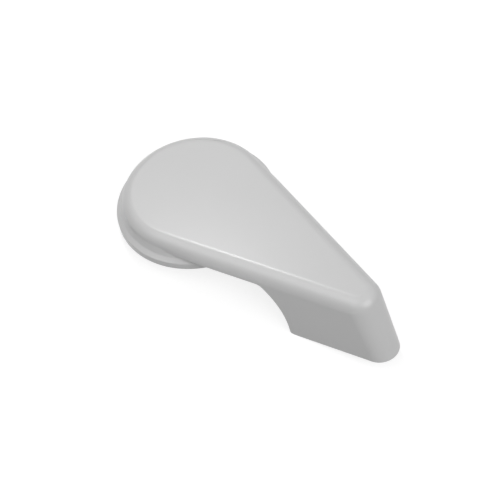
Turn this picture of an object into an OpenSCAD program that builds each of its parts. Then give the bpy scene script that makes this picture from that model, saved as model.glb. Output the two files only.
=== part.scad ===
// Push-on handle of a diverter valve, moulded in one piece.
// The origin is on the valve's axis, level with the bottom face of the flange.
// +Z runs up the valve's axis and the lever points along +X. Sizes are in millimetres.

/* [Head] */
// Diameter of the round head, measured at the level of the top face
head_d = 51.8; // [46:0.2:60]
// Height of the top face above the bottom face of the flange
top_h = 10.3; // [9:0.1:14]
// Radius of the rounding that runs all round the top face
top_edge_r = 5.1; // [3.5:0.1:6]
// Slope of the side walls in degrees, wider towards the bottom
side_draft = 2.8; // [1:0.1:4]

/* [Flange] */
// How far the flange stands out past the head
flange_lip = 2.1; // [1.6:0.1:4]
// Thickness of the flange at its rim
flange_t = 2.6; // [2:0.1:3.2]
// Rounding on the two edges of the rim
rim_edge_r = 0.4; // [0.2:0.1:0.8]
// Radius of the hollow blend from the flange up into the head
flange_blend_r = 1.4; // [0.5:0.1:1.4]

/* [Lever] */
// Distance from the valve's axis to the tip, measured at the level of the top face
reach = 79; // [70:0.5:100]
// Radius of the round tip, measured at the level of the top face
tip_r = 7.6; // [7:0.1:9]
// Lean of the tip in degrees, outwards towards the bottom
tip_lean = 17; // [10:0.5:20]
// Height of the neck's underside above the bottom face of the flange
neck_h = 5.2; // [4.8:0.1:6]

/* [Grip] */
// Depth of the grip's foot below the bottom face of the flange
grip_drop = 15.1; // [12:0.1:20]
// Radius of the finger arch on the inner side of the grip
arch_r = 30.3; // [27:0.1:34]
// Distance from the valve's axis to the centre of the arch
arch_x = 23.1; // [18:0.1:26]
// Depth of the centre of the arch below the bottom face of the flange
arch_drop = 17.3; // [15:0.1:20]
// Radius of the blend from the neck's underside into the arch
neck_blend_r = 3; // [1:0.5:8]
// Rounding of the corner between the arch and the grip's foot
foot_r = 1.5; // [0.5:0.1:3]

/* [Shell] */
// Thickness of the side walls, measured level
wall = 2.5; // [1.8:0.1:3]
// Thickness of the roof under the top face
roof_t = 2.6; // [2:0.1:3.2]
// Thickness of the ribs
rib_t = 1.6; // [1:0.1:2]
// How far the lower edges of the ribs stay behind the edges of the walls
rib_set_back = 0.8; // [0.2:0.1:1.2]
// Gap between the flange's rim and the hollow of the lever, seen from below
hollow_gap = 0.6; // [0.2:0.1:2]
// Number of ribs across the lever
cross_ribs = 4; // [2:1:6]
// Number of ribs between the hub and the wall of the head
hub_ribs = 4; // [3:1:8]

/* [Stem socket] */
// Diameter of the valve's stem
stem_d = 12; // [10:0.1:13]
// Distance across the two flats of the stem
stem_flats = 10; // [8:0.1:10.5]
// Gap all round between the stem's end and the recess that takes its flats
stem_gap = 0.1; // [0.05:0.01:0.15]
// Gap all round between the stem and the round mouth below that recess
mouth_gap = 0.3; // [0.3:0.05:0.5]
// Length of the round mouth
mouth_l = 5; // [4:0.1:6]
// Chamfer around the mouth of the socket
mouth_chamfer = 0.6; // [0.3:0.1:1]
// Thickness of the hub around the socket
hub_wall = 2.4; // [2:0.1:3.5]
// How far the hub reaches below the bottom face of the flange
hub_drop = 2.4; // [1:0.1:2.6]

/* [Hidden] */

moulding_grey = [0.82, 0.82, 0.81];

// Facets on a full turn of the head and of the tip, and on a quarter turn of an edge
head_facets = 144;
tip_facets = 96;
edge_steps = 8;
// Degrees of a curve in the side profile that one chord spans
profile_step = 2.5;
// Overlap that makes sure two solids join
bite = 1;
// How much wider than the drafted head the round wall under the neck stands
neck_wall_step = 0.1;
// How deep the flange's blend ends inside the wall of the head
blend_bite = 0.05;

// Sine of the angle between the lever's centre line and each of its side walls.
// Each wall touches the round of the head and the round of the tip.
taper = (head_d / 2 - tip_r) / (reach - tip_r);

// Radius of the head at height z, on a surface that lies inset mm inside the outer one
function side_r(z, inset = 0) = head_d / 2 + (top_h - z) * tan(side_draft) - inset;

// Distance from the valve's axis to the tip at height z
function end_x(z, inset = 0) = reach + (top_h - z) * tan(tip_lean) - inset;

// Radius of a round that touches both side walls and an end at x
function round_r(side, x) = (side - taper * x) / (1 - taper);

// Level distance from a wall that leans by a degrees, met at the height of the face
// above, to the centre of a ball of radius r that touches both
function ball_inset(r, a) = r * (1 - sin(a)) / cos(a);

// Points on an arc about c from angle a to angle b, both ends included
function arc(c, r, a, b) =
    let (n = ceil(abs(b - a) / profile_step))
    [for (i = [0:n]) c + r * [cos(a + (b - a) * i / n), sin(a + (b - a) * i / n)]];

lowest = -grip_drop - bite;
farthest = end_x(lowest) + bite;
roof_h = top_h - roof_t;
inner_edge_r = max(top_edge_r - wall, 0.5);

neck_wall_r = side_r(0) + neck_wall_step;
flange_r = head_d / 2 + flange_lip;
hollow_start = flange_r + hollow_gap;
blend_r = min(flange_blend_r, neck_h - flange_t, flange_r - rim_edge_r - side_r(flange_t));

mouth_r = stem_d / 2 + mouth_gap;
recess_r = stem_d / 2 + stem_gap;
flats_w = stem_flats + 2 * stem_gap;
hub_r = mouth_r + hub_wall;

// A round post: its top edge is rolled over, and it ends in a disc below
module rolled_cap(ring, edge, z, facets) {
    quarter = [for (i = [0:edge_steps]) let (a = 90 * i / edge_steps)
        [ring + edge * cos(a), z - edge + edge * sin(a)]];
    rotate_extrude($fn = facets)
        polygon(concat(quarter, [[0, z], [0, z - edge]]));
}

// The teardrop body of head and lever as one drafted form, without its side profile
module teardrop(inset, top, edge) {
    head_ring = side_r(top, inset) - ball_inset(edge, side_draft);
    tip_end = end_x(top, inset) - ball_inset(edge, tip_lean);
    tip_ring = round_r(head_ring, tip_end);
    low_tip = round_r(side_r(lowest, inset), end_x(lowest, inset));
    hull() {
        rolled_cap(head_ring, edge, top, head_facets);
        translate([tip_end - tip_ring, 0, 0])
            rolled_cap(tip_ring, edge, top, tip_facets);
        translate([0, 0, lowest - bite])
            cylinder(r = side_r(lowest, inset), h = bite, $fn = head_facets);
        translate([end_x(lowest, inset) - low_tip, 0, lowest - bite])
            cylinder(r = low_tip, h = bite, $fn = tip_facets);
    }
}

// Everything above the underside of neck and grip, seen from the side as x and z.
// A set-back moves that underside up and in, as for the edges of the ribs.
module side_profile(set_back = 0) {
    neck = neck_h + set_back;
    foot = -grip_drop + set_back;
    arch = [arch_x, -arch_drop];
    arch_radius = arch_r + set_back;
    blend = neck_blend_r + set_back;
    blend_z = neck - blend;
    blend_x = arch_x + sqrt(pow(arch_radius - blend, 2) - pow(blend_z + arch_drop, 2));
    foot_z = foot + foot_r;
    foot_x = arch_x + sqrt(pow(arch_radius + foot_r, 2) - pow(foot_z + arch_drop, 2));
    blend_a = atan2(blend_z + arch_drop, blend_x - arch_x);
    foot_a = atan2(foot_z + arch_drop, foot_x - arch_x);
    polygon(concat(
        [[-farthest, top_h + bite], [-farthest, neck]],
        arc([blend_x, blend_z], blend, 90, blend_a),
        arc(arch, arch_radius, blend_a, foot_a),
        arc([foot_x, foot_z], foot_r, 180 + foot_a, 270),
        [[farthest, foot], [farthest, top_h + bite]]
    ));
}

// A side profile as a solid, wider than the handle
module side_block(set_back = 0) {
    rotate([90, 0, 0])
        linear_extrude(height = 2 * flange_r, center = true)
            side_profile(set_back);
}

// Head and lever: the neck, the arch and the grip's foot cut the teardrop from below,
// and under the neck the head goes on down as a round wall
module lever_body() {
    intersection() {
        teardrop(0, top_h, top_edge_r);
        union() {
            side_block();
            cylinder(r = neck_wall_r, h = neck_h + bite, $fn = head_facets);
        }
    }
}

// The flange and its hollow blend up into the head
module flange() {
    blend_top = flange_t + blend_r;
    wall_r = side_r(blend_top) - blend_bite;
    rotate_extrude($fn = head_facets)
        polygon(concat(
            [[0, 0]],
            arc([flange_r - rim_edge_r, rim_edge_r], rim_edge_r, -90, 0),
            arc([flange_r - rim_edge_r, flange_t - rim_edge_r], rim_edge_r, 0, 90),
            arc([wall_r + blend_r, blend_top], blend_r, 270, 180),
            [[0, blend_top]]
        ));
}

// Half the section of the head's hollow, grown into the walls around it
function pocket_section(bottom, grow = 0) =
    let (corner = [side_r(roof_h, wall) - inner_edge_r, roof_h - inner_edge_r])
    concat(
        [[0, bottom], [side_r(bottom, wall) + grow, bottom]],
        arc(corner, inner_edge_r + grow, 0, 90),
        [[0, roof_h + grow]]
    );

// The hollow of the head, open at the bottom
module head_pocket() {
    rotate_extrude($fn = head_facets)
        polygon(pocket_section(-bite));
}

// Plates that cross the lever's hollow: one along it, the others across it
module lever_ribs() {
    inner_end = end_x(roof_h, wall);
    intersection() {
        union() {
            translate([0, -rib_t / 2, lowest - bite])
                cube([farthest, rib_t, top_h - lowest + bite]);
            for (i = [1:cross_ribs])
                translate([
                    hollow_start + (inner_end - hollow_start) * i / (cross_ribs + 1) - rib_t / 2,
                    -flange_r,
                    lowest - bite
                ])
                    cube([rib_t, 2 * flange_r, top_h - lowest + bite]);
        }
        side_block(rib_set_back);
    }
}

// The hollow of the lever, from clear of the flange to the tip, with its ribs left in
module lever_pocket() {
    difference() {
        teardrop(wall, roof_h, inner_edge_r);
        translate([0, 0, lowest - 2 * bite])
            cylinder(r = hollow_start, h = top_h - lowest + 2 * bite, $fn = head_facets);
        lever_ribs();
    }
}

// The hub that holds the valve's stem
module hub() {
    translate([0, 0, -hub_drop])
        cylinder(r = hub_r, h = hub_drop + roof_h + roof_t / 2, $fn = 96);
}

// Ribs from the hub to the wall of the head, their ends sunk into wall and roof
module head_ribs() {
    for (i = [0:hub_ribs - 1])
        rotate([0, 0, 180 / hub_ribs + 360 * i / hub_ribs])
            rotate([90, 0, 0])
                linear_extrude(height = rib_t, center = true)
                    polygon(pocket_section(rib_set_back, wall / 2));
}

// The blind socket: a round mouth, and above it a recess for a stem with two flats
module stem_socket() {
    recess_h = roof_h + hub_drop - mouth_l;
    translate([0, 0, -hub_drop]) {
        cylinder(r = mouth_r, h = mouth_l, $fn = 96);
        translate([0, 0, -bite])
            cylinder(r1 = mouth_r + mouth_chamfer + bite, r2 = mouth_r,
                     h = mouth_chamfer + bite, $fn = 96);
    }
    intersection() {
        translate([0, 0, roof_h - recess_h - bite])
            cylinder(r = recess_r, h = recess_h + bite, $fn = 96);
        translate([-flats_w / 2, -hub_r, roof_h - recess_h - bite])
            cube([flats_w, 2 * hub_r, recess_h + bite]);
    }
}

// The whole moulding
module handle() {
    color(moulding_grey)
        difference() {
            union() {
                difference() {
                    union() {
                        lever_body();
                        flange();
                    }
                    head_pocket();
                    lever_pocket();
                }
                hub();
                head_ribs();
            }
            stem_socket();
        }
}

handle();
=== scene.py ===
"""The looks of a diverter valve handle, moulded in one piece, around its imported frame."""

import logging
import math
from dataclasses import dataclass
from enum import Enum

import bmesh
import bpy
from mathutils import Matrix, Vector


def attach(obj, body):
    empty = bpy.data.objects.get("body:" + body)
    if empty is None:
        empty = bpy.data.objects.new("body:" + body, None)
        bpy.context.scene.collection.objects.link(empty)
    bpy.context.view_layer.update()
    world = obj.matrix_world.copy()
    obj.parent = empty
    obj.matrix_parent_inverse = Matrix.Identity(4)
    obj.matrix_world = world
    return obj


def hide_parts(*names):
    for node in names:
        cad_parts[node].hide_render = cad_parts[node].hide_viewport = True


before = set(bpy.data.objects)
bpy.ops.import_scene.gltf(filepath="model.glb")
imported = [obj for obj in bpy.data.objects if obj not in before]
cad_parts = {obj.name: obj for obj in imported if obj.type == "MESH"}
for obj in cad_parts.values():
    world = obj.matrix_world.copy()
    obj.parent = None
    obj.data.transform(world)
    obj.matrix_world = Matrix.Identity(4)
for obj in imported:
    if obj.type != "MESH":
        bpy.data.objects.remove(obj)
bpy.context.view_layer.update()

log = logging.getLogger("handle")

MM = 0.001
FULL_TURN = 2 * math.pi
WELD = 0.002
Point = tuple[float, float]


class Join(Enum):
    """How one solid works on another."""

    ADD = "UNION"
    CUT = "DIFFERENCE"
    KEEP_COMMON = "INTERSECT"


class Outline:
    """A line drawn in the XZ plane, piece by piece, for a flat face or a turned form."""

    def __init__(self, start: Point) -> None:
        """Puts the pen down at start, an x and a z in millimetres."""
        self.bm = bmesh.new()
        self.first = self.end = self.bm.verts.new((start[0], 0, start[1]))

    def line(self, *points: Point) -> "Outline":
        """Draws straight on to each point in turn.

        Args:
            *points: the x and z of each next corner.

        Returns:
            The outline itself, for the next stroke.
        """
        for x, z in points:
            made = bmesh.ops.extrude_vert_indiv(self.bm, verts=[self.end])
            self.end = made["verts"][0]
            self.end.co = (x, 0, z)
        return self

    def arc(self, centre: Point, degrees: float, step: float = 2.5) -> "Outline":
        """Draws on along an arc.

        Args:
            centre: the x and z of the arc's centre.
            degrees: how far to turn, from +X towards +Z where positive.
            step: degrees that one chord spans at most.

        Returns:
            The outline itself, for the next stroke.
        """
        made = bmesh.ops.spin(
            self.bm, geom=[self.end], cent=(centre[0], 0, centre[1]), axis=(0, -1, 0),
            angle=math.radians(degrees), steps=max(2, math.ceil(abs(degrees) / step)))
        self.end = next(g for g in made["geom_last"] if isinstance(g, bmesh.types.BMVert))
        return self

    def turned(self, facets: int) -> bmesh.types.BMesh:
        """Turns the outline about the Z axis.

        Args:
            facets: the number of facets on the full turn.

        Returns:
            The turned form, closed where the outline starts and ends on the axis.
        """
        bmesh.ops.spin(
            self.bm, geom=self.bm.verts[:] + self.bm.edges[:], cent=(0, 0, 0), axis=(0, 0, 1),
            angle=FULL_TURN, steps=facets, use_merge=True)
        bmesh.ops.remove_doubles(self.bm, verts=self.bm.verts, dist=1e-5)
        bmesh.ops.recalc_face_normals(self.bm, faces=self.bm.faces)
        return self.bm

    def plate(self, width: float) -> bmesh.types.BMesh:
        """Closes the outline and gives it a width along Y.

        Args:
            width: the plate's width, half of it on either side of the XZ plane.

        Returns:
            The plate as a closed solid.
        """
        bm = self.bm
        bm.edges.new((self.end, self.first))
        bmesh.ops.contextual_create(bm, geom=bm.edges[:])
        bmesh.ops.translate(bm, verts=bm.verts, vec=(0, -width / 2, 0))
        grown = bmesh.ops.extrude_face_region(bm, geom=bm.faces[:])["geom"]
        moved = [g for g in grown if isinstance(g, bmesh.types.BMVert)]
        bmesh.ops.translate(bm, verts=moved, vec=(0, width, 0))
        bmesh.ops.recalc_face_normals(bm, faces=bm.faces)
        return bm


@dataclass
class Solid:
    """A closed form that other forms are added to and cut from, in millimetres."""

    name: str
    bm: bmesh.types.BMesh

    def _as_object(self) -> bpy.types.Object:
        """Moves the form into an object of its own, and returns that object."""
        mesh = bpy.data.meshes.new(self.name)
        self.bm.to_mesh(mesh)
        self.bm.free()
        made = bpy.data.objects.new(self.name, mesh)
        bpy.context.scene.collection.objects.link(made)
        return made

    def join(self, how: Join, *others: "Solid") -> "Solid":
        """Adds other forms, cuts them away or keeps what is common.

        Args:
            how: what each of the others does to this form.
            *others: the forms that work on this one, used up by it.

        Returns:
            This form with the others worked in.
        """
        base = self._as_object()
        spare = [base]
        for other in others:
            tool = other._as_object()
            spare.append(tool)
            step = base.modifiers.new(other.name, "BOOLEAN")
            step.operation = how.value
            step.solver = "EXACT"
            step.object = tool
        depsgraph = bpy.context.evaluated_depsgraph_get()
        result = bpy.data.meshes.new_from_object(base.evaluated_get(depsgraph))
        self.bm = bmesh.new()
        self.bm.from_mesh(result)
        bpy.data.meshes.remove(result)
        for used in spare:
            bpy.data.meshes.remove(used.data)
        bmesh.ops.remove_doubles(self.bm, verts=self.bm.verts, dist=WELD)
        bmesh.ops.dissolve_degenerate(self.bm, edges=self.bm.edges, dist=WELD)
        return self

    def tidy(self, merge: float, flat_degrees: float) -> "Solid":
        """Closes tiny gaps and joins facets that lie in one plane.

        Args:
            merge: points closer than this are made one, in millimetres.
            flat_degrees: facets that meet at less than this become one face.

        Returns:
            This form, tidied.
        """
        bm = self.bm
        bmesh.ops.remove_doubles(bm, verts=bm.verts, dist=merge)
        bmesh.ops.dissolve_degenerate(bm, edges=bm.edges, dist=merge)
        bmesh.ops.dissolve_limit(
            bm, angle_limit=math.radians(flat_degrees), verts=bm.verts, edges=bm.edges)
        return self


@dataclass(frozen=True)
class HandleForm:
    """The sizes that head, lever and hollow share, in millimetres and degrees."""

    head_d: float = 51.8
    top_h: float = 10.3
    top_edge_r: float = 5.1
    side_draft: float = 2.8
    reach: float = 79
    tip_r: float = 7.6
    tip_lean: float = 17
    neck_h: float = 5.2
    grip_drop: float = 15.1
    wall: float = 2.5
    roof_t: float = 2.6
    rib_t: float = 1.6
    rib_set_back: float = 0.8
    flange_r: float = 28
    waist_r: float = 25.3
    waist_h: float = 6.5
    hollow_gap: float = 0.6
    head_facets: int = 192
    tip_facets: int = 128
    hub_facets: int = 96
    edge_steps: int = 14
    bite: float = 1
    flat_degrees: float = 0.05

    @property
    def lowest(self) -> float:
        """A height just below the grip's foot, to which the teardrop goes on down."""
        return -self.grip_drop - self.bite

    @property
    def roof_h(self) -> float:
        """Height of the roof's inner face."""
        return self.top_h - self.roof_t

    @property
    def inner_edge_r(self) -> float:
        """Rounding of the hollow's corner, on one centre with the outer rounding."""
        return max(self.top_edge_r - self.wall, 0.5)

    @property
    def taper(self) -> float:
        """Sine of the angle between the centre line and each side wall."""
        return (self.head_d / 2 - self.tip_r) / (self.reach - self.tip_r)

    @property
    def far_end(self) -> float:
        """A distance along X that lies past the tip at any height."""
        return self.end_x(self.lowest) + self.bite

    def side_r(self, z: float, inset: float = 0) -> float:
        """Returns the head's radius at height z, inset that far inside the outer wall."""
        return self.head_d / 2 + (self.top_h - z) * math.tan(math.radians(self.side_draft)) - inset

    def end_x(self, z: float, inset: float = 0) -> float:
        """Returns how far the tip reaches at height z, inset that far inside the outer wall."""
        return self.reach + (self.top_h - z) * math.tan(math.radians(self.tip_lean)) - inset

    def round_r(self, side: float, end: float) -> float:
        """Returns the radius of a round that touches both side walls and an end at x = end."""
        return (side - self.taper * end) / (1 - self.taper)


def ball_inset(radius: float, lean: float) -> float:
    """Finds where a ball that touches a face and a leaning wall has its centre.

    Args:
        radius: the ball's radius.
        lean: the wall's lean from upright, in degrees.

    Returns:
        The level distance from the wall, met at the height of the face, to the centre.
    """
    angle = math.radians(lean)
    return radius * (1 - math.sin(angle)) / math.cos(angle)


@dataclass(frozen=True)
class Teardrop:
    """The drafted teardrop of head and lever, with a rolled edge round its top."""

    form: HandleForm
    inset: float
    top: float
    edge: float
    merge: float = 1e-4

    def _rolled_cap(self, ring: float, facets: int) -> bmesh.types.BMesh:
        """Turns the top of a round post whose edge is rolled over.

        Args:
            ring: radius of the circle on which the rolling ball's centre runs.
            facets: the number of facets on the full turn.

        Returns:
            The cap, on the Z axis.
        """
        low = self.top - self.edge
        rolled = Outline((ring + self.edge, low)).arc((ring, low), 90, 90 / self.form.edge_steps)
        return rolled.line((0, self.top)).turned(facets)

    def solid(self, name: str) -> Solid:
        """Spans the teardrop over its two rolled caps and the two rounds below them.

        Args:
            name: what the form is called.

        Returns:
            The teardrop as a closed convex form.
        """
        form = self.form
        head_ring = form.side_r(self.top, self.inset) - ball_inset(self.edge, form.side_draft)
        tip_end = form.end_x(self.top, self.inset) - ball_inset(self.edge, form.tip_lean)
        tip_ring = form.round_r(head_ring, tip_end)
        low_head = form.side_r(form.lowest, self.inset)
        low_end = form.end_x(form.lowest, self.inset)
        low_tip = form.round_r(low_head, low_end)

        bm = self._rolled_cap(tip_ring, form.tip_facets)
        bmesh.ops.translate(bm, verts=bm.verts, vec=(tip_end - tip_ring, 0, 0))
        head = bpy.data.meshes.new(name)
        head_cap = self._rolled_cap(head_ring, form.head_facets)
        head_cap.to_mesh(head)
        head_cap.free()
        bm.from_mesh(head)
        bpy.data.meshes.remove(head)
        for radius, x, facets in (
            (low_head, 0, form.head_facets),
            (low_tip, low_end - low_tip, form.tip_facets),
        ):
            bmesh.ops.create_circle(
                bm, segments=facets, radius=radius, matrix=Matrix.Translation((x, 0, form.lowest)))
        return Solid(name, spanned(bm)).tidy(self.merge, form.flat_degrees)


def spanned(bm: bmesh.types.BMesh) -> bmesh.types.BMesh:
    """Keeps nothing but the convex form around all the points.

    Args:
        bm: the points, with whatever faces and edges they have.

    Returns:
        The same bmesh, holding the convex form alone, its faces outwards.
    """
    skin = set(bmesh.ops.convex_hull(bm, input=bm.verts, use_existing_faces=False)["geom"])
    inside = [f for f in bm.faces if f not in skin]
    bmesh.ops.delete(bm, geom=inside, context="FACES_ONLY")
    bmesh.ops.delete(bm, geom=[e for e in bm.edges if not e.link_faces], context="EDGES")
    bmesh.ops.delete(bm, geom=[v for v in bm.verts if not v.link_faces], context="VERTS")
    bmesh.ops.recalc_face_normals(bm, faces=bm.faces)
    return bm


def post(radius: float, low: float, high: float, facets: int, top_radius: float | None = None
         ) -> bmesh.types.BMesh:
    """Stands a round post on the Z axis.

    Args:
        radius: its radius at the bottom.
        low: the height of its bottom.
        high: the height of its top.
        facets: the number of facets on the full turn.
        top_radius: its radius at the top, where that differs.

    Returns:
        The post, closed at both ends.
    """
    bm = bmesh.new()
    bmesh.ops.create_cone(
        bm, cap_ends=True, segments=facets, radius1=radius,
        radius2=radius if top_radius is None else top_radius, depth=high - low,
        matrix=Matrix.Translation((0, 0, (low + high) / 2)))
    bmesh.ops.rotate(
        bm, cent=(0, 0, 0), matrix=Matrix.Rotation(-math.pi / 2, 3, "Z"), verts=bm.verts)
    return bm


def block(low: Vector, high: Vector) -> bmesh.types.BMesh:
    """Makes a straight block between two corners.

    Args:
        low: its lowest corner.
        high: its highest corner.

    Returns:
        The block.
    """
    bm = bmesh.new()
    size = high - low
    bmesh.ops.create_cube(bm, size=1)
    bmesh.ops.scale(bm, vec=size, verts=bm.verts)
    bmesh.ops.translate(bm, vec=(low + high) / 2, verts=bm.verts)
    return bm


@dataclass(frozen=True)
class SideCut:
    """The underside of neck, arch and grip, seen from the side."""

    form: HandleForm
    arch_r: float = 30.3
    arch_x: float = 23.1
    arch_drop: float = 17.3
    neck_blend_r: float = 3
    foot_r: float = 1.5

    def solid(self, name: str, set_back: float = 0) -> Solid:
        """Fills everything above that underside.

        Args:
            name: what the form is called.
            set_back: how far the underside moves up and in.

        Returns:
            The filling, wider than the handle.
        """
        form = self.form
        neck = form.neck_h + set_back
        foot = -form.grip_drop + set_back
        arch_radius = self.arch_r + set_back
        blend = self.neck_blend_r + set_back
        blend_rise = neck - blend + self.arch_drop
        blend_run = math.sqrt((arch_radius - blend) ** 2 - blend_rise ** 2)
        foot_rise = foot + self.foot_r + self.arch_drop
        foot_run = math.sqrt((arch_radius + self.foot_r) ** 2 - foot_rise ** 2)
        blend_turn = math.degrees(math.atan2(blend_rise, blend_run))
        foot_turn = math.degrees(math.atan2(foot_rise, foot_run))
        top = form.top_h + form.bite
        drawn = Outline((-form.far_end, top)).line(
            (-form.far_end, neck), (self.arch_x + blend_run, neck))
        drawn.arc((self.arch_x + blend_run, neck - blend), blend_turn - 90, 5)
        drawn.arc((self.arch_x, -self.arch_drop), foot_turn - blend_turn, 2.5)
        drawn.arc((self.arch_x + foot_run, foot + self.foot_r), 90 - foot_turn, 7.5)
        drawn.line((form.far_end, foot), (form.far_end, top))
        return Solid(name, drawn.plate(2 * form.flange_r))


@dataclass(frozen=True)
class Head:
    """The round head: its flange, its hollow, the hub in it and the hub's ribs."""

    form: HandleForm
    rim_h: float = 2.95
    rim_edge_r: float = 0.5
    crease: Point = (26.3, 4.05)
    crease_r: float = 1.2
    wall_overlap: float = 0.3
    hub_r: float = 8.7
    hub_drop: float = 2.4
    hub_ribs: int = 4

    def flange(self) -> Solid:
        """Turns the flange: rounded rim, sloping band, soft crease and the wall up to the waist.

        Returns:
            The flange, its wall ending just inside the head's.
        """
        form = self.form
        edge = self.rim_edge_r
        rim = Vector((form.flange_r - edge, self.rim_h - edge))
        crease = Vector(self.crease)
        wall_top = Vector((form.waist_r, form.waist_h - self.wall_overlap))
        to_crease, up_wall = crease - rim, wall_top - crease
        band_lean = math.atan2(to_crease.y, to_crease.x) - math.acos(edge / to_crease.length)
        turn = band_lean - math.atan2(-up_wall.x, up_wall.y)
        facing = Vector((math.cos(band_lean), math.sin(band_lean)))
        along = Vector((-facing.y, facing.x))
        start = crease - along * self.crease_r * math.tan(turn / 2)
        drawn = Outline((0, 0)).line((rim.x, 0))
        drawn.arc((rim.x, edge), 90, 15).line((form.flange_r, rim.y))
        drawn.arc(rim, math.degrees(band_lean), 10).line(start)
        drawn.arc(start + facing * self.crease_r, -math.degrees(turn), 5)
        return Solid("flange", drawn.line(wall_top, (0, wall_top.y)).turned(form.head_facets))

    def _hollow_section(self, bottom: float, grow: float = 0) -> Outline:
        """Draws half the section of the head's hollow.

        Args:
            bottom: the height where it starts.
            grow: how far it reaches into the walls around it.

        Returns:
            The outline from the axis out, up the wall and back to the axis.
        """
        form = self.form
        low = form.roof_h - form.inner_edge_r
        ring = form.side_r(form.roof_h, form.wall) - form.inner_edge_r
        drawn = Outline((0, bottom)).line(
            (form.side_r(bottom, form.wall) + grow, bottom), (ring + form.inner_edge_r + grow, low))
        return drawn.arc((ring, low), 90, 7.5).line((0, form.roof_h + grow))

    def hollow(self) -> Solid:
        """Turns the hollow of the head, open at the bottom."""
        return Solid("head_hollow", self._hollow_section(-self.form.bite).turned(self.form.head_facets))

    def hub(self) -> Solid:
        """Stands the hub up into the roof."""
        top = self.form.roof_h + self.form.roof_t / 2
        return Solid("hub", post(self.hub_r, -self.hub_drop, top, self.form.hub_facets))

    def ribs(self) -> list[Solid]:
        """Sets the ribs between the hub and the wall.

        Returns:
            One solid for each rib, its outer end sunk into wall and roof.
        """
        form = self.form
        made = []
        for i in range(self.hub_ribs):
            bm = self._hollow_section(form.rib_set_back, form.wall / 2).plate(form.rib_t)
            turn = math.pi / self.hub_ribs + FULL_TURN * i / self.hub_ribs
            bmesh.ops.rotate(bm, cent=(0, 0, 0), matrix=Matrix.Rotation(turn, 3, "Z"), verts=bm.verts)
            made.append(Solid(f"hub_rib_{i}", bm))
        return made


@dataclass(frozen=True)
class StemSocket:
    """The blind socket for the valve's stem: a round mouth and a recess with two flats."""

    form: HandleForm
    hub_drop: float = 2.4
    mouth_r: float = 6.3
    mouth_l: float = 5
    mouth_chamfer: float = 0.6
    recess_r: float = 6.1
    flats_w: float = 10.2

    def solids(self) -> list[Solid]:
        """Makes what is cut out of the hub.

        Returns:
            The round mouth, the chamfer around it and the recess above it.
        """
        form, bite = self.form, self.form.bite
        low, mouth_top = -self.hub_drop, self.mouth_l - self.hub_drop
        mouth = post(self.mouth_r, low - bite, mouth_top, form.hub_facets)
        chamfer = post(self.mouth_r + self.mouth_chamfer + bite, low - bite,
                       low + self.mouth_chamfer, form.hub_facets, self.mouth_r)
        recess = Solid("socket_recess", post(self.recess_r, mouth_top - bite, form.roof_h,
                                             form.hub_facets))
        half, past = self.flats_w / 2, 2 * self.recess_r
        flats = block(Vector((-half, -past, -past)), Vector((half, past, past)))
        recess.join(Join.KEEP_COMMON, Solid("socket_flats", flats))
        return [Solid("socket_mouth", mouth), Solid("socket_chamfer", chamfer), recess]


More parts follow.
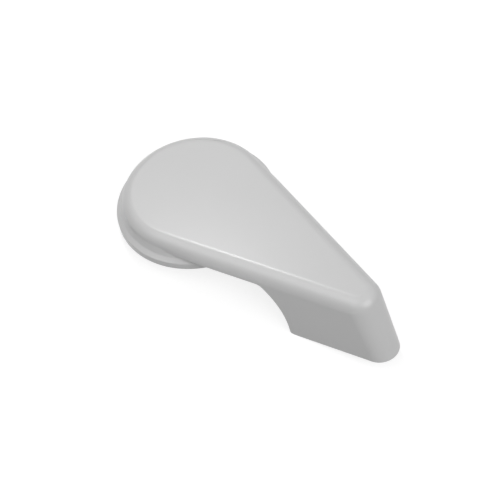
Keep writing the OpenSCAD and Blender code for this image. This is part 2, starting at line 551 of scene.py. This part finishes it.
@dataclass(frozen=True)
class Lever:
    """The flat-topped lever with its neck, finger arch and grip, and the hollow in it."""

    form: HandleForm
    side_cut: SideCut
    cross_ribs: int = 4
    neck_wall_step: float = 0.05
    waist_fade: Point = (3, 24)
    waist_steps: int = 12

    def body(self) -> Solid:
        """Cuts the teardrop from below, and takes the head on down as a round wall."""
        form = self.form
        outer = Teardrop(form, 0, form.top_h, form.top_edge_r).solid("teardrop")
        self._draw_in(outer.bm)
        round_wall = post(form.waist_r - self.neck_wall_step, 0, form.neck_h + form.bite,
                          form.head_facets)
        kept = self.side_cut.solid("side_cut").join(Join.ADD, Solid("neck_wall", round_wall))
        return outer.join(Join.KEEP_COMMON, kept)

    def _draw_in(self, bm: bmesh.types.BMesh) -> None:
        """Draws the rolled edge in to the waist, all round the head and on along the neck.

        The roll becomes part of an ellipse there, and fades back to a circle along the lever.

        Args:
            bm: the teardrop.
        """
        form = self.form
        fade_from, fade_to = self.waist_fade
        for i in range(1, self.waist_steps):
            x = fade_from + (fade_to - fade_from) * i / self.waist_steps
            bmesh.ops.bisect_plane(bm, geom=bm.verts[:] + bm.edges[:] + bm.faces[:], dist=1e-5,
                                   plane_co=(x, 0, 0), plane_no=(1, 0, 0))
        ring = form.side_r(form.top_h) - ball_inset(form.top_edge_r, form.side_draft)
        roll_low = form.top_h - form.top_edge_r - self.neck_wall_step
        across = (form.waist_r - ring) / form.top_edge_r - 1
        down = (form.top_h - form.waist_h) / form.top_edge_r - 1
        side = Vector((form.taper, math.sqrt(1 - form.taper ** 2)))
        for vert in bm.verts:
            x, y, z = vert.co
            flat = Vector((x, abs(y)))
            outward = flat.normalized() if flat.x * side.y < flat.y * side.x else side
            past_edge = flat.dot(outward) - ring
            if z > roll_low and past_edge > 0:
                share = min(max((fade_to - x) / (fade_to - fade_from), 0), 1)
                share *= share * (3 - 2 * share)
                moved = flat + outward * past_edge * across * share
                drop = (form.top_h - z) * (1 + down * share)
                vert.co = (moved.x, math.copysign(moved.y, y), form.top_h - drop)

    def _ribs(self, hollow_start: float) -> Solid:
        """Sets one plate along the lever's hollow and the others across it.

        Args:
            hollow_start: how far from the axis the hollow starts.

        Returns:
            The plates as one form, their lower edges set back from the walls'.
        """
        form = self.form
        inner_end = form.end_x(form.roof_h, form.wall)
        half_t = form.rib_t / 2
        low, high = form.lowest - form.bite, form.top_h
        along = block(Vector((0, -half_t, low)), Vector((form.far_end, half_t, high)))
        across = []
        for i in range(1, self.cross_ribs + 1):
            x = hollow_start + (inner_end - hollow_start) * i / (self.cross_ribs + 1)
            plate = block(Vector((x - half_t, -form.flange_r + 1, low)),
                          Vector((x + half_t, form.flange_r - 1, high)))
            across.append(Solid(f"cross_rib_{i}", plate))
        plates = Solid("lever_ribs", along).join(Join.ADD, *across)
        return plates.join(Join.KEEP_COMMON, self.side_cut.solid("rib_cut", form.rib_set_back))

    def hollow(self) -> Solid:
        """Makes the lever's hollow, from clear of the flange to the tip, without its ribs."""
        form = self.form
        inner = Teardrop(form, form.wall, form.roof_h, form.inner_edge_r).solid("lever_hollow")
        start = form.flange_r + form.hollow_gap
        head_room = post(start, form.lowest - 2 * form.bite, form.top_h, form.head_facets)
        return inner.join(Join.CUT, Solid("head_room", head_room), self._ribs(start))


class MouldedGrain:
    """The fine grain of a tool's steel and the slow drift of tone and sheen in a moulding."""

    inputs = ("Grain per Metre", "Drift per Metre", "Tone Spread", "Roughness", "Roughness Spread")
    outputs = ("Tone", "Roughness", "Height")
    grain_detail = 3
    drift_detail = 2

    def group(self) -> bpy.types.NodeTree:
        """Builds the node group.

        Returns:
            The group, which puts out a tone round 1, a roughness and a height from 0 to 1.
        """
        made = bpy.data.node_groups.new("moulded_grain", "ShaderNodeTree")
        for name in self.inputs:
            made.interface.new_socket(name=name, in_out="INPUT", socket_type="NodeSocketFloat")
        for name in self.outputs:
            made.interface.new_socket(name=name, in_out="OUTPUT", socket_type="NodeSocketFloat")
        given = made.nodes.new("NodeGroupInput").outputs
        taken = made.nodes.new("NodeGroupOutput").inputs
        place = made.nodes.new("ShaderNodeTexCoord").outputs["Object"]
        grain = self._noise(made, place, given["Grain per Metre"], self.grain_detail)
        drift = self._noise(made, place, given["Drift per Metre"], self.drift_detail)
        made.links.new(grain, taken["Height"])
        made.links.new(self._spread(made, drift, given["Tone Spread"], None), taken["Tone"])
        sheen = self._spread(made, grain, given["Roughness Spread"], given["Roughness"])
        made.links.new(sheen, taken["Roughness"])
        return made

    def _noise(self, tree: bpy.types.NodeTree, place: bpy.types.NodeSocket,
               scale: bpy.types.NodeSocket, detail: float) -> bpy.types.NodeSocket:
        """Adds one noise.

        Args:
            tree: the group that it is added to.
            place: where on the piece it is read.
            scale: how many bumps a metre has.
            detail: how many finer noises lie on it.

        Returns:
            The socket with the noise, from 0 to 1.
        """
        noise = tree.nodes.new("ShaderNodeTexNoise")
        noise.inputs["Detail"].default_value = detail
        tree.links.new(place, noise.inputs["Vector"])
        tree.links.new(scale, noise.inputs["Scale"])
        return noise.outputs["Fac"]

    def _spread(self, tree: bpy.types.NodeTree, noise: bpy.types.NodeSocket,
                spread: bpy.types.NodeSocket, middle: bpy.types.NodeSocket | None
                ) -> bpy.types.NodeSocket:
        """Spreads a noise round a middle value.

        Args:
            tree: the group that it is added to.
            noise: the noise, from 0 to 1.
            spread: how far the ends lie apart.
            middle: the value round which it varies, or None for 1.

        Returns:
            The socket with the spread value.
        """
        centred = tree.nodes.new("ShaderNodeMath")
        centred.operation = "SUBTRACT"
        tree.links.new(noise, centred.inputs[0])
        centred.inputs[1].default_value = 0.5
        spreading = tree.nodes.new("ShaderNodeMath")
        spreading.operation = "MULTIPLY_ADD"
        tree.links.new(centred.outputs[0], spreading.inputs[0])
        tree.links.new(spread, spreading.inputs[1])
        spreading.inputs[2].default_value = 1
        if middle is not None:
            tree.links.new(middle, spreading.inputs[2])
        return spreading.outputs[0]


@dataclass(frozen=True)
class MouldedPlastic:
    """Light grey moulded plastic with a satin sheen and a faint grain."""

    colour: tuple[float, float, float] = (0.62, 0.62, 0.62)
    roughness: float = 0.3
    ior: float = 1.5
    grain_per_metre: float = 2600
    drift_per_metre: float = 45
    tone_spread: float = 0.03
    roughness_spread: float = 0.08
    grain_height: float = 0.004
    grain_strength: float = 0.15

    def material(self) -> bpy.types.Material:
        """Builds the plastic's material.

        Returns:
            The material, its tone, roughness and height from the moulded grain.
        """
        made = bpy.data.materials.new("moulded_plastic")
        made.use_nodes = True
        nodes, links = made.node_tree.nodes, made.node_tree.links
        shader = nodes["Principled BSDF"]
        shader.inputs["IOR"].default_value = self.ior
        grain = nodes.new("ShaderNodeGroup")
        grain.node_tree = MouldedGrain().group()
        values = (self.grain_per_metre, self.drift_per_metre, self.tone_spread, self.roughness,
                  self.roughness_spread)
        for name, value in zip(MouldedGrain.inputs, values):
            grain.inputs[name].default_value = value
        tinted = nodes.new("ShaderNodeVectorMath")
        tinted.operation = "SCALE"
        tinted.inputs[0].default_value = self.colour
        links.new(grain.outputs["Tone"], tinted.inputs["Scale"])
        links.new(tinted.outputs[0], shader.inputs["Base Color"])
        links.new(grain.outputs["Roughness"], shader.inputs["Roughness"])
        relief = nodes.new("ShaderNodeBump")
        relief.inputs["Strength"].default_value = self.grain_strength
        relief.inputs["Distance"].default_value = self.grain_height * MM
        links.new(grain.outputs["Height"], relief.inputs["Height"])
        links.new(relief.outputs["Normal"], shader.inputs["Normal"])
        return made


@dataclass
class Handle:
    """The whole moulding, as the one piece that it is."""

    form: HandleForm
    finish: MouldedPlastic
    merge: float = 0.005
    edge_break: float = 0.25
    edge_segments: int = 3
    edge_from_degrees: float = 40

    def build(self) -> bpy.types.Object:
        """Joins head and lever, hollows them and dresses the result.

        Returns:
            The finished piece, in metres, riding on the frame.
        """
        head = Head(self.form)
        lever = Lever(self.form, SideCut(self.form))
        socket = StemSocket(self.form)
        solid = lever.body().join(Join.ADD, head.flange())
        solid.join(Join.CUT, head.hollow(), lever.hollow())
        solid.join(Join.ADD, head.hub(), *head.ribs())
        solid.join(Join.CUT, *socket.solids())
        return self._dress(solid.tidy(self.merge, self.form.flat_degrees))

    def _dress(self, solid: Solid) -> bpy.types.Object:
        """Makes the finished piece of the moulding's form.

        Args:
            solid: the moulding in millimetres.

        Returns:
            The piece in metres, with its finish, riding on the frame.
        """
        bmesh.ops.scale(solid.bm, vec=(MM, MM, MM), verts=solid.bm.verts)
        piece = solid._as_object()
        piece.name = "handle_moulding"
        piece.data.shade_smooth()
        piece.data.materials.append(self.finish.material())
        rounding = piece.modifiers.new("edge_rounding", "BEVEL")
        rounding.width = self.edge_break * MM
        rounding.segments = self.edge_segments
        rounding.limit_method = "ANGLE"
        rounding.angle_limit = math.radians(self.edge_from_degrees)
        rounding.use_clamp_overlap = True
        rounding.miter_outer = "MITER_ARC"
        even = piece.modifiers.new("even_shading", "WEIGHTED_NORMAL")
        even.mode = "FACE_AREA"
        even.keep_sharp = True
        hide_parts("handle")
        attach(piece, "root")
        return piece


@dataclass(frozen=True)
class PhotoCamera:
    """The camera as it stood for the photograph, over the valve's axis."""

    azimuth: float = 50.495
    elevation: float = 50.361
    roll: float = -10.74
    distance: float = 500
    lens: float = 103.64
    aim_right: float = -18.184
    aim_up: float = 15.228
    sensor: float = 36
    sight: Point = (0.01, 20)

    def build(self) -> bpy.types.Object:
        """Stands the camera up and makes it the scene's own.

        Returns:
            The camera.
        """
        turn, rise, roll = map(math.radians, (self.azimuth, self.elevation, self.roll))
        back = Vector((math.sin(turn) * math.cos(rise), -math.cos(turn) * math.cos(rise),
                       math.sin(rise)))
        level = Vector((math.cos(turn), math.sin(turn), 0))
        upright = back.cross(level)
        right = level * math.cos(roll) + upright * math.sin(roll)
        above = upright * math.cos(roll) - level * math.sin(roll)
        place = back * self.distance - right * self.aim_right - above * self.aim_up
        data = bpy.data.cameras.new("photo_camera")
        data.sensor_width = self.sensor
        data.lens = self.lens
        data.clip_start, data.clip_end = self.sight
        camera = bpy.data.objects.new("photo_camera", data)
        bpy.context.scene.collection.objects.link(camera)
        axes = Matrix((right, above, back)).transposed().to_4x4()
        camera.matrix_world = Matrix.Translation(place * MM) @ axes
        bpy.context.scene.camera = camera
        return camera


@dataclass(frozen=True)
class Lamp:
    """One square lamp that shines at a point of the handle.

    The azimuth turns from +X towards +Y. Angles are in degrees, lengths in metres.
    """

    name: str
    azimuth: float
    elevation: float
    distance: float
    size: float
    power: float

    def build(self, target: Vector) -> bpy.types.Object:
        """Hangs the lamp in its place.

        Args:
            target: the point at which it shines, in metres.

        Returns:
            The lamp.
        """
        data = bpy.data.lights.new(self.name, "AREA")
        data.shape = "SQUARE"
        data.size = self.size
        data.energy = self.power
        lamp = bpy.data.objects.new(self.name, data)
        bpy.context.scene.collection.objects.link(lamp)
        turn, rise = math.radians(self.azimuth), math.radians(self.elevation)
        away = Vector((math.cos(turn) * math.cos(rise), math.sin(turn) * math.cos(rise),
                       math.sin(rise)))
        lamp.location = target + away * self.distance
        lamp.rotation_mode = "QUATERNION"
        lamp.rotation_quaternion = away.to_track_quat("Z", "Y")
        return lamp


@dataclass(frozen=True)
class Studio:
    """The white floor on which the handle rests, the lamps and the light around them.

    Points are an x and a z in millimetres.
    """

    lamps: tuple[Lamp, ...]
    target: Point = (25, 0)
    back_edge: Point = (-28, 0)
    grip_corner: Point = (55, -15.1)
    ambient: float = 0.31
    floor_size: float = 6
    floor_grey: float = 0.3
    floor_glow: float = 0.8

    def floor(self) -> bpy.types.Object:
        """Lays the floor under the flange's back edge and the grip's inner corner.

        Returns:
            The floor.
        """
        (back_x, back_z), (corner_x, corner_z) = self.back_edge, self.grip_corner
        fall = math.atan2(back_z - corner_z, corner_x - back_x)
        bm = bmesh.new()
        bmesh.ops.create_grid(bm, x_segments=1, y_segments=1, size=self.floor_size / 2)
        bmesh.ops.rotate(bm, cent=(0, 0, 0), matrix=Matrix.Rotation(fall, 3, "Y"), verts=bm.verts)
        bmesh.ops.translate(bm, vec=Vector((back_x, 0, back_z)) * MM, verts=bm.verts)
        mesh = bpy.data.meshes.new("floor")
        bm.to_mesh(mesh)
        bm.free()
        made = bpy.data.objects.new("floor", mesh)
        bpy.context.scene.collection.objects.link(made)
        mesh.materials.append(self._floor_paint())
        return made

    def _floor_paint(self) -> bpy.types.Material:
        """Paints the floor white for the eye, with the handle's own soft shadow on it.

        Returns:
            The floor's material, clear when seen from below.
        """
        made = bpy.data.materials.new("floor_paint")
        made.use_nodes = True
        nodes, links = made.node_tree.nodes, made.node_tree.links
        nodes.clear()
        out = nodes.new("ShaderNodeOutputMaterial")
        matt = nodes.new("ShaderNodeBsdfDiffuse")
        matt.inputs["Color"].default_value = (*[self.floor_grey] * 3, 1)
        glow = nodes.new("ShaderNodeEmission")
        path = nodes.new("ShaderNodeLightPath")
        seen = nodes.new("ShaderNodeMath")
        seen.operation = "MAXIMUM"
        links.new(path.outputs["Is Camera Ray"], seen.inputs[0])
        links.new(path.outputs["Is Glossy Ray"], seen.inputs[1])
        strength = nodes.new("ShaderNodeMath")
        strength.operation = "MULTIPLY"
        links.new(seen.outputs[0], strength.inputs[0])
        strength.inputs[1].default_value = self.floor_glow
        links.new(strength.outputs[0], glow.inputs["Strength"])
        both = nodes.new("ShaderNodeAddShader")
        links.new(matt.outputs[0], both.inputs[0])
        links.new(glow.outputs[0], both.inputs[1])
        clear = nodes.new("ShaderNodeBsdfTransparent")
        side = nodes.new("ShaderNodeNewGeometry")
        mix = nodes.new("ShaderNodeMixShader")
        links.new(side.outputs["Backfacing"], mix.inputs[0])
        links.new(both.outputs[0], mix.inputs[1])
        links.new(clear.outputs[0], mix.inputs[2])
        links.new(mix.outputs[0], out.inputs["Surface"])
        return made

    def surroundings(self) -> bpy.types.World:
        """Makes the even light around the handle, white where the camera sees it.

        Returns:
            The world.
        """
        world = bpy.data.worlds.new("studio")
        bpy.context.scene.world = world
        world.use_nodes = True
        nodes, links = world.node_tree.nodes, world.node_tree.links
        sky = nodes["Background"]
        path = nodes.new("ShaderNodeLightPath")
        level = nodes.new("ShaderNodeMapRange")
        level.inputs["To Min"].default_value = self.ambient
        level.inputs["To Max"].default_value = 1
        links.new(path.outputs["Is Camera Ray"], level.inputs["Value"])
        links.new(level.outputs[0], sky.inputs["Strength"])
        sky.inputs["Color"].default_value = (1, 1, 1, 1)
        return world

    def build(self) -> None:
        """Lays the floor, hangs the lamps and sets the light around them."""
        self.floor()
        target = Vector((self.target[0], 0, self.target[1])) * MM
        for lamp in self.lamps:
            lamp.build(target)
        self.surroundings()
        bpy.context.scene.view_settings.view_transform = "Standard"


def main() -> None:
    """Builds the handle and the studio around it, and reports each."""
    logging.basicConfig(level=logging.INFO, format="%(name)s: %(message)s")
    piece = Handle(HandleForm(), MouldedPlastic()).build()
    log.info("%s has %d faces", piece.name, len(piece.data.polygons))
    camera = PhotoCamera().build()
    log.info("%s stands %.3f m away", camera.name, camera.location.length)
    lamps = (
        Lamp("key_lamp", azimuth=154.5, elevation=60.7, distance=0.35, size=0.05, power=0.31),
        Lamp("front_lamp", azimuth=-100, elevation=60, distance=0.8, size=0.6, power=1.75),
        Lamp("tip_lamp", azimuth=-2, elevation=34, distance=0.8, size=0.5, power=2.6),
    )
    Studio(lamps).build()
    log.info("the studio has %d lamps", len(lamps))


if __name__ == "__main__":
    main()
